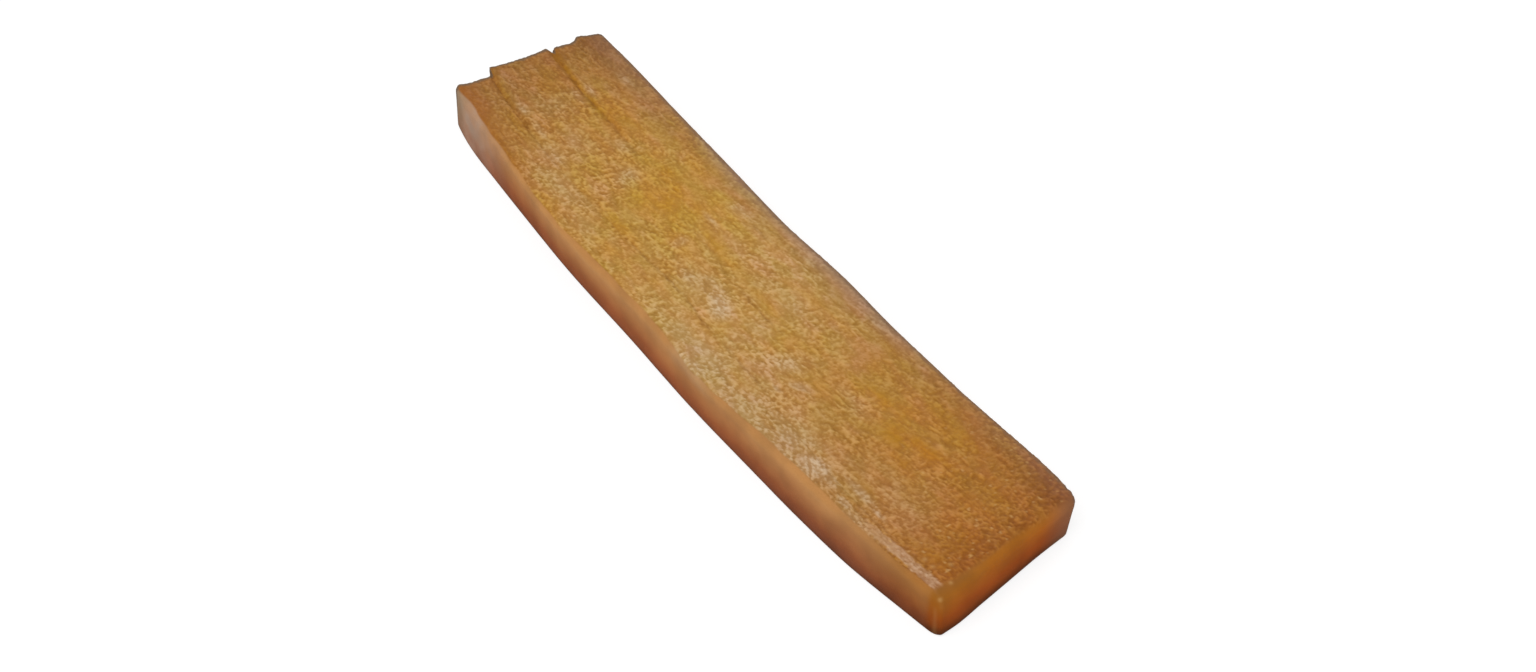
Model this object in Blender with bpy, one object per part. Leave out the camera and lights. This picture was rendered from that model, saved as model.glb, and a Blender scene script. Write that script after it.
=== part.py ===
"""A mango bar: one cut slab of dried mango pulp.

It rests on its flat underside. The length runs along X with the near end at +X, the
width along Y, and the slab rises from z = 0. Lengths below are in millimetres.
"""
import math

import bmesh
import bpy
import numpy as np

MM = 0.001

THICKNESS = 10.8
END_LINE = 76.0  # the straight slab runs from -END_LINE to END_LINE before its ends are shaped
STRAIGHT_WIDTH = 34.0

# Radii of the rounded edges, by the side they belong to.
ROUND_FAR = 0.7
ROUND_NEAR = 2.2
ROUND_LEFT = 1.2
ROUND_RIGHT = 1.8
ROUND_TOP = 1.3
ROUND_TOP_NEAR = 2.1  # the top edge grows rounder over the last NEAR_BLEND before the near end
NEAR_BLEND = 7.0
ROUND_FOOT = 0.9
ROUND_ANGLES = (15.0, 30.0, 45.0)  # where the lattice lines turn around an edge, up to its middle

# Cells of the lattice between the roundings. Those along are shorter at the far end.
FAR_STRETCH = 24.0
CELLS_FAR = 13
CELLS_ALONG = 41
CELLS_LEFT = 3
CELLS_MIDDLE = 6
CELLS_RIGHT = 6
CELLS_UP = 3

# Long edges as (x, y): the slab bows towards -Y, and its left foot swells past the top edge.
LEFT_EDGE = (
    (-78, -14.4), (-68, -16.0), (-51, -18.2), (-36, -20.0), (-22, -20.2), (-6, -19.8),
    (3, -20.0), (14, -20.7), (28, -20.1), (51, -18.5), (67, -17.2), (77, -16.2),
)
LEFT_FOOT = (
    (-78, -15.2), (-70, -17.1), (-58, -18.3), (-46, -19.1), (-30, -20.0), (-10, -20.3),
    (10, -20.8), (28, -20.6), (46, -20.2), (57, -19.5), (68, -17.8), (77, -16.3),
)
RIGHT_EDGE = (
    (-78, 17.7), (-56, 17.6), (-42, 16.9), (-22, 16.3), (-9, 15.8), (11, 16.6),
    (25, 16.1), (38, 16.2), (52, 16.8), (64, 17.4), (77, 17.5),
)
RIGHT_UNDERCUT = ((-78, 0.6), (0, 0.9), (60, 1.2), (77, 1.5))  # (x, how far the foot is set in)

# Two grooves run along the top from breaks in the far end: a crease, and the line of a strip
# along the left edge. Their lines are (x, y), their depths and the strip's drop (x, depth).
CREASE = ((-76, 6.6), (-66, 5.1), (-57, 4.3), (-45, 3.8), (-30, 3.0), (77, 1.5))
STRIP_LINE = (
    (-78, -6.9), (-67, -8.8), (-58, -9.7), (-47, -10.9), (-32, -11.5), (-15, -10.9),
    (18, -12.1), (50, -14.4), (66, -14.0), (77, -13.2),
)
CREASE_DEPTH = ((-76, 1.0), (-62, 0.65), (-45, 0.3), (-28, 0.0), (77, 0.0))
STRIP_DEPTH = ((-76, 0.45), (-58, 0.4), (-40, 0.15), (30, 0.12), (50, 0.3), (72, 0.0))
STRIP_DROP = ((-76, 0.1), (-70, 0.3), (-58, 0.25), (-40, 0.0), (77, 0.0))
GROOVE_REACH = 0.5  # from a groove's floor to its lip

# Ends as (y, x). The far end is broken into three strips, with a notch at the crease.
FAR_END = (
    (-14.4, -78.6), (-12.8, -77.6), (-8.0, -76.8), (-7.2, -76.9), (-6.7, -79.0), (-3.4, -78.0),
    (1.0, -77.3), (6.1, -77.0), (6.6, -75.4), (7.1, -76.3), (10.9, -75.1), (12.6, -76.0),
    (14.4, -75.0), (17.2, -74.1),
)
FAR_UNDERCUT = 0.9  # how far the foot of the far end is set in
NEAR_END = ((-16.4, 77.2), (-12.0, 77.2), (-6.0, 76.5), (0.0, 75.8), (9.0, 74.8), (17.5, 74.8))
NEAR_FOOT = ((-16.4, 77.9), (-12.0, 77.8), (-6.0, 77.0), (0.0, 76.2), (9.0, 75.0), (17.5, 73.7))
END_FADE = 22.0  # from an end's shape to the straight lattice

# Slow rises and hollows of the top: height, wavelength along, wavelength across, phase.
SWELLS = ((0.16, 64.0, 52.0, 0.6), (0.13, 35.0, 27.0, 2.3), (0.08, 19.0, 15.0, 4.1))

PULP_COLOUR = (0.43, 0.19, 0.045)
PULP_ROUGHNESS = 0.42


def smooth_curve(stations, x):
    """Value at x of a smooth curve through the stations."""
    xs, ys = np.array(stations, dtype=float).T
    slopes = np.gradient(ys, xs)
    i = int(np.clip(np.searchsorted(xs, x) - 1, 0, len(xs) - 2))
    step = xs[i + 1] - xs[i]
    t = min(max((x - xs[i]) / step, 0.0), 1.0)
    s = 1.0 - t
    from_start = s * s * ((1.0 + 2.0 * t) * ys[i] + t * step * slopes[i])
    from_end = t * t * ((1.0 + 2.0 * s) * ys[i + 1] - s * step * slopes[i + 1])
    return from_start + from_end


def broken_curve(stations, x):
    """Value at x of straight lines through the stations."""
    xs, ys = np.array(stations, dtype=float).T
    return float(np.interp(x, xs, ys))


def ease(t):
    """0 at 0 and 1 at 1, level at both."""
    t = min(max(t, 0.0), 1.0)
    return t * t * (3.0 - 2.0 * t)


def rounding_insets(radius):
    """Distances from an edge of the lattice lines that turn around it, the edge first."""
    turns = sorted(ROUND_ANGLES, reverse=True)
    return [radius * (1.0 - math.tan(math.radians(turn))) for turn in turns] + [radius]


def width_share(y, x):
    """Where y lies across the top at x, from 0 at the left edge to 1 at the right."""
    left = smooth_curve(LEFT_EDGE, x)
    return (y - left) / (smooth_curve(RIGHT_EDGE, x) - left)


def lines_along():
    """Lattice lines along the straight slab, closer together at the broken far end."""
    far = [-END_LINE + inset for inset in rounding_insets(ROUND_FAR)]
    near = [END_LINE - inset for inset in reversed(rounding_insets(ROUND_NEAR))]
    fine = np.linspace(far[-1], far[-1] + FAR_STRETCH, CELLS_FAR + 1)[1:]
    plain = np.linspace(fine[-1], near[0], CELLS_ALONG + 1)[1:-1]
    return far + list(fine) + list(plain) + near


def lines_across(x):
    """Lattice lines across the straight slab at x: two groups of them follow the grooves."""
    left = rounding_insets(ROUND_LEFT)
    right = [STRAIGHT_WIDTH - inset for inset in reversed(rounding_insets(ROUND_RIGHT))]
    lines = list(left)
    for stations, cells in ((STRIP_LINE, CELLS_LEFT), (CREASE, CELLS_MIDDLE)):
        middle = STRAIGHT_WIDTH * width_share(smooth_curve(stations, x), x)
        lines += list(np.linspace(lines[-1], middle - GROOVE_REACH, cells + 1)[1:])
        lines += [middle, middle + GROOVE_REACH]
    lines += list(np.linspace(lines[-1], right[0], CELLS_RIGHT + 1)[1:-1])
    return lines + right


def lines_up():
    """Lattice lines up the sides."""
    foot = rounding_insets(ROUND_FOOT)
    top = [THICKNESS - inset for inset in reversed(rounding_insets(ROUND_TOP))]
    return foot + list(np.linspace(foot[-1], top[0], CELLS_UP + 1)[1:-1]) + top


def rounded(point):
    """A point on the straight slab's surface, moved onto its rounded edges."""
    near = ease(1.0 - (END_LINE - point[0]) / NEAR_BLEND)
    top_radius = ROUND_TOP + (ROUND_TOP_NEAR - ROUND_TOP) * near
    sides = (
        (-END_LINE, END_LINE, ROUND_FAR, ROUND_NEAR),
        (0.0, STRAIGHT_WIDTH, ROUND_LEFT, ROUND_RIGHT),
        (0.0, THICKNESS, ROUND_FOOT, top_radius),
    )
    core = []
    reach = []
    radii = []
    for value, (low, high, low_radius, high_radius) in zip(point, sides):
        kept = min(max(value, low + low_radius), high - high_radius)
        radius = low_radius if value < kept else high_radius
        core.append(kept)
        radii.append(radius)
        reach.append((value - kept) / radius)
    size = math.sqrt(sum(part * part for part in reach))
    return tuple(kept + part / size * radius for kept, part, radius in zip(core, reach, radii))


def groove(distance):
    """Depth share of a groove at a distance from its floor line."""
    return 1.0 - ease(abs(distance) / GROOVE_REACH)


def relief(x, y):
    """Rise of the top above its mean level, where x is a place on the straight slab."""
    rise = 0.0
    for height, along, across, phase in SWELLS:
        turn = 2.0 * math.pi
        rise += height * math.sin(turn * x / along + phase) * math.cos(turn * y / across + phase)
    crease_gap = y - smooth_curve(CREASE, x)
    strip_gap = y - smooth_curve(STRIP_LINE, x)
    rise -= broken_curve(CREASE_DEPTH, x) * groove(crease_gap)
    rise -= broken_curve(STRIP_DEPTH, x) * groove(strip_gap)
    rise -= broken_curve(STRIP_DROP, x) * ease(0.5 - strip_gap / GROOVE_REACH)
    return rise


def shaped(point):
    """A point of the rounded straight slab, moved to its place on the bar."""
    x, across, z = point
    up = z / THICKNESS
    share = across / STRAIGHT_WIDTH
    left = smooth_curve(LEFT_FOOT, x) + (smooth_curve(LEFT_EDGE, x) - smooth_curve(LEFT_FOOT, x)) * up
    right = smooth_curve(RIGHT_EDGE, x) - smooth_curve(RIGHT_UNDERCUT, x) * (1.0 - up)
    y = left + share * (right - left)
    far = broken_curve(FAR_END, y) + FAR_UNDERCUT * (1.0 - up) + END_LINE
    near_foot = smooth_curve(NEAR_FOOT, y)
    near = near_foot + (smooth_curve(NEAR_END, y) - near_foot) * up - END_LINE
    far_hold = 1.0 - ease((x + END_LINE) / END_FADE)
    near_hold = 1.0 - ease((END_LINE - x) / END_FADE)
    shift = far * far_hold + near * near_hold
    lift = relief(x, y) * ease(2.0 * up - 1.0)
    return x + shift, y, z + lift


def lattice_shell(bm, lengths, width_lines, heights):
    """Quads over the ends, the sides and the top of the lattice, and a flat underside."""
    last_along = len(lengths) - 1
    last_across = len(width_lines[0]) - 1
    last_up = len(heights) - 1
    corners = {}

    def corner(i, j, k):
        if (i, j, k) not in corners:
            place = shaped(rounded((lengths[i], width_lines[i][j], heights[k])))
            corners[i, j, k] = bm.verts.new([value * MM for value in place])
        return corners[i, j, k]

    for i in range(last_along):
        for j in range(last_across):
            ring = ((i, j), (i + 1, j), (i + 1, j + 1), (i, j + 1))
            bm.faces.new([corner(a, b, last_up) for a, b in ring])
        for k in range(last_up):
            ring = ((i, k), (i + 1, k), (i + 1, k + 1), (i, k + 1))
            bm.faces.new([corner(a, 0, c) for a, c in ring])
            bm.faces.new([corner(a, last_across, c) for a, c in reversed(ring)])
    for j in range(last_across):
        for k in range(last_up):
            ring = ((j, k), (j, k + 1), (j + 1, k + 1), (j + 1, k))
            bm.faces.new([corner(0, b, c) for b, c in ring])
            bm.faces.new([corner(last_along, b, c) for b, c in reversed(ring)])

    # Underside: quads from side to side, and one wide face at each end.
    cut = len(ROUND_ANGLES) + 1
    for i in range(cut, last_along - cut):
        ring = ((i, 0), (i, last_across), (i + 1, last_across), (i + 1, 0))
        bm.faces.new([corner(a, b, 0) for a, b in ring])
    far_ring = [(i, 0) for i in range(cut, 0, -1)]
    far_ring += [(0, j) for j in range(last_across)]
    far_ring += [(i, last_across) for i in range(cut + 1)]
    bm.faces.new([corner(a, b, 0) for a, b in far_ring])
    near_ring = [(last_along - i, last_across) for i in range(cut, 0, -1)]
    near_ring += [(last_along, j) for j in range(last_across, 0, -1)]
    near_ring += [(last_along - i, 0) for i in range(cut + 1)]
    bm.faces.new([corner(a, b, 0) for a, b in near_ring])


def centred(bm):
    """Moves the mesh so that its box is centred over the origin and stands on z = 0."""
    spots = np.array([vertex.co for vertex in bm.verts])
    low = spots.min(axis=0)
    high = spots.max(axis=0)
    middle = (low + high) / 2.0
    bmesh.ops.translate(bm, verts=bm.verts, vec=(-middle[0], -middle[1], -low[2]))


def pulp_material():
    material = bpy.data.materials.new("dried_mango_pulp")
    material.use_nodes = True
    shader = material.node_tree.nodes["Principled BSDF"]
    shader.inputs["Base Color"].default_value = (*PULP_COLOUR, 1.0)
    shader.inputs["Roughness"].default_value = PULP_ROUGHNESS
    shader.inputs["Metallic"].default_value = 0.0
    material.diffuse_color = (*PULP_COLOUR, 1.0)
    return material


def mango_bar():
    bm = bmesh.new()
    lengths = lines_along()
    lattice_shell(bm, lengths, [lines_across(x) for x in lengths], lines_up())
    centred(bm)
    bmesh.ops.recalc_face_normals(bm, faces=bm.faces)
    for face in bm.faces:
        face.smooth = True
    mesh = bpy.data.meshes.new("mango_bar")
    bm.to_mesh(mesh)
    bm.free()
    mesh.materials.append(pulp_material())
    bar = bpy.data.objects.new("mango_bar", mesh)
    bpy.context.scene.collection.objects.link(bar)


for thing in list(bpy.data.objects):
    bpy.data.objects.remove(thing, do_unlink=True)
mango_bar()
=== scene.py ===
import bmesh
import bpy
import numpy as np
from mathutils import Matrix, Vector, noise


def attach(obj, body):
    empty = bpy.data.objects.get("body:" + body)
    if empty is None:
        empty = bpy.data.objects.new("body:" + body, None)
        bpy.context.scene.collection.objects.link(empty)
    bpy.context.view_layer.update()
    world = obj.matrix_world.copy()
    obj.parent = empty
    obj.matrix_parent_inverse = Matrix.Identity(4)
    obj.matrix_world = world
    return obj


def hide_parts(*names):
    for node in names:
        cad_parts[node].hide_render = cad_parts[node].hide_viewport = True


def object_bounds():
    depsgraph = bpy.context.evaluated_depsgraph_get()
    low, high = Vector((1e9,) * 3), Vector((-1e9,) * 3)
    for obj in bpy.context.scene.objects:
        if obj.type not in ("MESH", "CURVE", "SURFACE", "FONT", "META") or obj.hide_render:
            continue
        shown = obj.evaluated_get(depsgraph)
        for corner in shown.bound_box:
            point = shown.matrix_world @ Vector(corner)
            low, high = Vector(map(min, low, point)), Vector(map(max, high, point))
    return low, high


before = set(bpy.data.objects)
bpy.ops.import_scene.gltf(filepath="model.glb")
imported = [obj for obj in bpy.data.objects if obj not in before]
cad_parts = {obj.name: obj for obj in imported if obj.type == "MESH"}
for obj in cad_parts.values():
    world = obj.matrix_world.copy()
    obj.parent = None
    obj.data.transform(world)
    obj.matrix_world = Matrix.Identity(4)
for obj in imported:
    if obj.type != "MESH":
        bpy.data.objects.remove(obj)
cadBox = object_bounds()
print("frame loaded")

mm = 0.001

# Shape of the bar in millimetres, with its solid's values but for the near right corner's foot,
# which stands out half a millimetre more.
bar = {
    "thickness": 10.8,
    "endLine": 76.0,
    "straightWidth": 34.0,
    "roundFar": 0.7,
    "roundNear": 2.2,
    "roundLeft": 1.2,
    "roundRight": 1.8,
    "roundTop": 1.3,
    "roundTopNear": 2.1,
    "nearBlend": 7.0,
    "roundFoot": 0.9,
    "leftEdge": (
        (-78, -14.4), (-68, -16.0), (-51, -18.2), (-36, -20.0), (-22, -20.2), (-6, -19.8),
        (3, -20.0), (14, -20.7), (28, -20.1), (51, -18.5), (67, -17.2), (77, -16.2),
    ),
    "leftFoot": (
        (-78, -15.2), (-70, -17.1), (-58, -18.3), (-46, -19.1), (-30, -20.0), (-10, -20.3),
        (10, -20.8), (28, -20.6), (46, -20.2), (57, -19.5), (68, -17.8), (77, -16.3),
    ),
    "rightEdge": (
        (-78, 17.7), (-56, 17.6), (-42, 16.9), (-22, 16.3), (-9, 15.8), (11, 16.6),
        (25, 16.1), (38, 16.2), (52, 16.8), (64, 17.4), (77, 17.5),
    ),
    "rightUndercut": ((-78, 0.6), (0, 0.9), (60, 1.2), (77, 1.0)),
    "crease": ((-76, 6.6), (-66, 5.1), (-57, 4.3), (-45, 3.8), (-30, 3.0), (77, 1.5)),
    "stripLine": (
        (-78, -6.9), (-67, -8.8), (-58, -9.7), (-47, -10.9), (-32, -11.5), (-15, -10.9),
        (18, -12.1), (50, -14.4), (66, -14.0), (77, -13.2),
    ),
    "creaseDepth": ((-76, 0.7), (-70, 0.45), (-62, 0.4), (-45, 0.22), (-28, 0.0), (77, 0.0)),
    "creaseReach": 1.0,
    "stripDepth": ((-76, 0.4), (-58, 0.32), (-40, 0.12), (30, 0.1), (50, 0.28), (72, 0.0)),
    "stripDrop": ((-76, 0.1), (-70, 0.28), (-58, 0.22), (-40, 0.0), (77, 0.0)),
    "grooveReach": 0.5,
    "farEnd": (
        (-14.4, -78.6), (-12.8, -77.6), (-8.0, -76.8), (-7.2, -76.9), (-6.7, -79.0),
        (-3.4, -78.0), (1.0, -77.3), (6.1, -77.0), (6.6, -75.4), (7.1, -76.3),
        (10.9, -75.1), (12.6, -76.0), (14.4, -75.0), (17.2, -74.1),
    ),
    "farUndercut": 0.9,
    "nearEnd": ((-16.4, 77.2), (-12.0, 77.2), (-6.0, 76.5), (0.0, 75.8), (9.0, 74.8), (17.5, 74.8)),
    "nearFoot": ((-16.4, 77.9), (-12.0, 77.8), (-6.0, 77.0), (0.0, 76.2), (9.0, 75.0), (17.5, 74.2)),
    "endFade": 22.0,
    "swells": ((0.16, 64.0, 52.0, 0.6), (0.13, 35.0, 27.0, 2.3), (0.08, 19.0, 15.0, 4.1)),
    "toCentre": (0.2483, 1.5715, -0.2636),  # from the curves above to the middle of the solid's box
}

# Cells of the fine mesh, the heights of its lines by the foot, and how far those by the top lie
# below it.
cells = {
    "along": 540,
    "across": (27, 4, 46, 4, 45),  # left strip, its groove, middle, the crease, right
    "up": 15,
    "footLevels": (0.0, 0.3, 0.6, 0.95),
    "topInsets": (1.6, 1.1, 0.7, 0.35, 0.0),
    "underEdge": 0.3,  # width of the soft edge round the underside
    "underStep": 4,
    "underReach": (76, 20),
    "underLeast": 2,  # side of the smallest face of the underside that is cut up
}


def smoothCurve(stations, x):
    xs, ys = np.array(stations, dtype=float).T
    slopes = np.gradient(ys, xs)
    i = np.clip(np.searchsorted(xs, x) - 1, 0, len(xs) - 2)
    step = xs[i + 1] - xs[i]
    t = np.clip((x - xs[i]) / step, 0.0, 1.0)
    s = 1.0 - t
    fromStart = s * s * ((1.0 + 2.0 * t) * ys[i] + t * step * slopes[i])
    fromEnd = t * t * ((1.0 + 2.0 * s) * ys[i + 1] - s * step * slopes[i + 1])
    return fromStart + fromEnd


def brokenCurve(stations, x):
    xs, ys = np.array(stations, dtype=float).T
    return np.interp(x, xs, ys)


def ease(t):
    t = np.clip(t, 0.0, 1.0)
    return t * t * (3.0 - 2.0 * t)


# Goes smoothly from 0 at the start to 1 at the end.
def between(value, start, end):
    return ease((value - start) / (end - start))


# Falls from 1 at no distance to nearly nothing at twice the reach.
def falloff(distance, reach):
    return np.exp(-(distance / reach) ** 2)


# Places of the lattice lines on the straight slab, from whole line numbers.
def linePlaces(along, across, up):
    x = -bar["endLine"] + 2.0 * bar["endLine"] * along / cells["along"]
    left = smoothCurve(bar["leftEdge"], x)
    width = smoothCurve(bar["rightEdge"], x) - left
    stops = np.cumsum((0, *cells["across"]))
    places = [np.zeros_like(x)]
    for line in ("stripLine", "crease"):
        middle = bar["straightWidth"] * (smoothCurve(bar[line], x) - left) / width
        places += [middle - bar["grooveReach"], middle + bar["grooveReach"]]
    places.append(np.full_like(x, bar["straightWidth"]))
    y = np.zeros_like(x)
    for start, end, low, high in zip(stops[:-1], stops[1:], places[:-1], places[1:]):
        inside = (across >= start) & (across <= end)
        share = (across - start) / (end - start)
        y = np.where(inside, low + (high - low) * share, y)
    foot = cells["footLevels"]
    top = [bar["thickness"] - inset for inset in cells["topInsets"]]
    wall = np.linspace(foot[-1], top[0], cells["up"] + 3 - len(foot) - len(top))
    levels = [*foot, *wall[1:-1], *top]
    z = np.interp(up, np.arange(cells["up"] + 1), levels)
    return x, y, z


# Moves the slab's lattice onto its rounded edges. Also gives the way that each point faces.
def rounded(x, y, z):
    near = ease(1.0 - (bar["endLine"] - x) / bar["nearBlend"])
    topRadius = bar["roundTop"] + (bar["roundTopNear"] - bar["roundTop"]) * near
    sides = (
        (x, -bar["endLine"], bar["endLine"], bar["roundFar"], bar["roundNear"]),
        (y, 0.0, bar["straightWidth"], bar["roundLeft"], bar["roundRight"]),
        (z, 0.0, bar["thickness"], bar["roundFoot"], topRadius),
    )
    core, reach, radii = [], [], []
    for value, low, high, lowRadius, highRadius in sides:
        kept = np.clip(value, low + lowRadius, high - highRadius)
        radius = np.where(value < kept, lowRadius, highRadius)
        core.append(kept)
        radii.append(radius)
        reach.append((value - kept) / radius)
    facing = np.array(reach) / np.linalg.norm(reach, axis=0)
    return np.array(core) + facing * np.array(radii), facing


def groove(distance, reach):
    return 1.0 - ease(np.abs(distance) / reach)


# Slow waves of the top, and the two grooves that run from the far end.
def relief(x, y):
    rise = np.zeros_like(x)
    for height, along, across, phase in bar["swells"]:
        rise += height * np.sin(2 * np.pi * x / along + phase) * np.cos(2 * np.pi * y / across + phase)
    creaseGap = y - smoothCurve(bar["crease"], x)
    stripGap = y - smoothCurve(bar["stripLine"], x)
    rise -= brokenCurve(bar["creaseDepth"], x) * groove(creaseGap, bar["creaseReach"])
    rise -= brokenCurve(bar["stripDepth"], x) * groove(stripGap, bar["grooveReach"])
    rise -= brokenCurve(bar["stripDrop"], x) * ease(0.5 - stripGap / bar["grooveReach"])
    return rise


# Moves points of the rounded straight slab to their places on the bowed bar.
def shaped(x, across, z):
    up = z / bar["thickness"]
    share = across / bar["straightWidth"]
    leftFoot = smoothCurve(bar["leftFoot"], x)
    left = leftFoot + (smoothCurve(bar["leftEdge"], x) - leftFoot) * up
    right = smoothCurve(bar["rightEdge"], x) - smoothCurve(bar["rightUndercut"], x) * (1.0 - up)
    y = left + share * (right - left)
    far = brokenCurve(bar["farEnd"], y) + bar["farUndercut"] * (1.0 - up) + bar["endLine"]
    nearFoot = smoothCurve(bar["nearFoot"], y)
    near = nearFoot + (smoothCurve(bar["nearEnd"], y) - nearFoot) * up - bar["endLine"]
    farHold = 1.0 - ease((x + bar["endLine"]) / bar["endFade"])
    nearHold = 1.0 - ease((bar["endLine"] - x) / bar["endFade"])
    lift = relief(x, y) * ease(2.0 * up - 1.0)
    return np.array([x + far * farHold + near * nearHold, y, z + lift])


# Strength of soft oval patches at each point, the strongest one where they overlap. A patch is
# (x, y, half length, half width, strength, turn in degrees).
def patchStrength(patches, x, y):
    total = np.zeros_like(x)
    for px, py, halfLength, halfWidth, strength, turn in patches:
        c, s = np.cos(np.radians(turn)), np.sin(np.radians(turn))
        u = ((x - px) * c + (y - py) * s) / halfLength
        v = ((y - py) * c - (x - px) * s) / halfWidth
        total = np.maximum(total, strength * np.exp(-(u * u + v * v)))
    return total


# Strength of small round spots, the strongest one where they overlap.
def spotStrength(spots, x, y, z):
    total = np.zeros_like(x)
    for px, py, pz, radius, strength in spots:
        away = np.sqrt((x - px) ** 2 + (y - py) ** 2 + (z - pz) ** 2)
        total = np.maximum(total, strength * falloff(away, radius))
    return total


# Noises that loosen shapes and marks, as strength, length, width and seed.
loose = {
    "bendAlong": (0.28, 2.5, 2.5, 3.7),
    "bendAcross": (0.28, 2.5, 2.5, 8.1),
    "margin": (1.0, 4.0, 4.0, 1.5),
    "amber": (0.6, 2.2, 2.2, 8.5),
    "bloomAndSheen": (0.5, 3.66667, 2.2, 4.4),
    "sheenStreak": (0.45, 0.9, 0.9, 6.6),
    "lineWander": (0.45, 1.6, 1.6, 3.3),
    "lineGaps": (0.8, 1.1, 1.1, 9.4),
    "farRimShade": (0.35, 1.3, 1.3, 7.2),
    "coarseBreak": (0.25, 1.6, 1.6, 2.8),
    "fineBreak": (0.15, 0.7, 0.7, 5.5),
    "longWave": (0.05, 6.0, 6.0, 4.2),
    "shortWave": (0.03, 2.5, 2.5, 6.1),
}


def drawnNoise(x, y, length, width, seed):
    return np.array([noise.noise(Vector((a, b, seed))) for a, b in zip(x / length, y / width)])


def looseNoise(name, x, y):
    strength, length, width, seed = loose[name]
    return strength * drawnNoise(x, y, length, width, seed)


def evened(values):
    return (values - values.mean()) / values.std()


def evenNoise(x, y, length, width, share, seed):
    return share * evened(drawnNoise(x, y, length, width, seed))


# Pebbled grain of the top. Its noises are (length, width, share, seed) in millimetres.
pebbled = {
    "contrast": 0.215,
    "wrinkles": ((1.1, 0.64, 0.42, 1.3), (0.54, 0.41, 0.95, 2.6)),
    "pebbles": (1.0, 0.66, 0.35, 3.7),
    "pebbleHeight": 0.5,
    "streaks": (7.0, 0.55, 0.3, 4.9),
    "crestSharpness": 0.15,
    "lumps": (3.2, 1.8, 0.05, 7.7),
    # Other directions that it is drawn in, with their turn in degrees and their patches.
    "slants": (
        ((3.2, 0.52, 0.6, 6.9), -34.0, "slantedPatches"),
        ((3.0, 0.5, 0.8, 5.9), 10.0, "drawnPatches"),
        ((0.78, 0.46, 0.8, 7.9), 25.0, "finePatches"),
    ),
    "slantHold": 0.58,  # share of the other wrinkles that gives way to them
    "slantedPatches": (
        (10, -15.5, 5.0, 3.4, 1.0, 0), (39, -15, 9.0, 3.6, 1.0, -10), (-1, -8, 5.0, 2.6, 0.7, 0),
        (26, -10, 5.0, 3.0, 0.6, 0), (-22, -14, 7.0, 2.6, 0.5, 0), (-44, -12, 6.0, 3.0, 0.4, 0),
        (6, 6, 8.0, 3.0, 0.5, 0), (62, -8, 6.0, 4.0, 0.4, 0),
    ),
    "drawnPatches": (
        (50, 5, 13.0, 8.0, 0.85, 0), (32, -4, 11.0, 4.5, 0.9, 0), (8, 12, 48.0, 3.4, 0.9, 0),
        (50, -9, 12.0, 4.0, 0.75, 0), (-60, 11, 20.0, 4.0, 0.8, 0), (10, 0, 6.0, 2.5, 0.7, 0),
        (-8, -5, 7.0, 3.0, 0.5, 0), (-15, 7, 9.0, 4.0, 0.4, 0),
    ),
    "finePatches": (
        (72, 0, 12.0, 20.0, 1.0, 0), (-72, -12, 7.0, 4.0, 0.8, 0),
    ),
    # Its strength: slow changes, gains along the bar as (start, end, gain), and calm patches.
    "changes": ((8.0, 4.5, 0.16, 5.2), (3.2, 2.0, 0.1, 6.4)),
    "gains": ((32.0, 42.0, 0.2), (-42.0, -50.0, 0.08), (63.0, 71.0, 0.34)),
    "strengthRange": (0.4, 1.6),
    "calmPatches": (
        (26, 8, 18.0, 7.0, 0.28, 0), (58, 8, 16.0, 7.0, 0.25, 0), (73, 13, 9.0, 4.5, 0.3, 0),
        (-24, 8, 20.0, 6.0, 0.16, 0), (-61, 10, 6.0, 4.0, 0.3, 0), (51, 9.5, 6.0, 4.0, 0.5, 0),
        (-10, 4.5, 5.0, 2.5, 0.22, 0), (-10, -13.5, 8.0, 2.5, 0.25, 0), (10, -4.5, 5.0, 2.0, 0.2, 0),
        (40, -4.5, 6.0, 2.0, 0.1, 0),
    ),
    "highSpots": (0.7, 0.52, 1.0, 4.6),
    "highSpotLevel": 1.3,
    "highSpotGain": (45.0, 60.0, 2.5),
    "creases": (7.0, 1.5, 1.0, 9.1),
    "creaseReach": 0.26,
    "creasedParts": (7.0, 5.0, 1.5, 2.2),
    "creasedLevel": 0.6,
    "streakyGain": 2.0,
    "streakyPatches": (
        (42, -9, 30.0, 7.0, 1.0, 0), (-10, 10, 10.0, 5.0, 0.5, 0), (5, 0, 14.0, 3.0, 0.5, 0),
        (60, 5, 12.0, 6.0, 0.5, 0),
    ),
}


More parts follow.
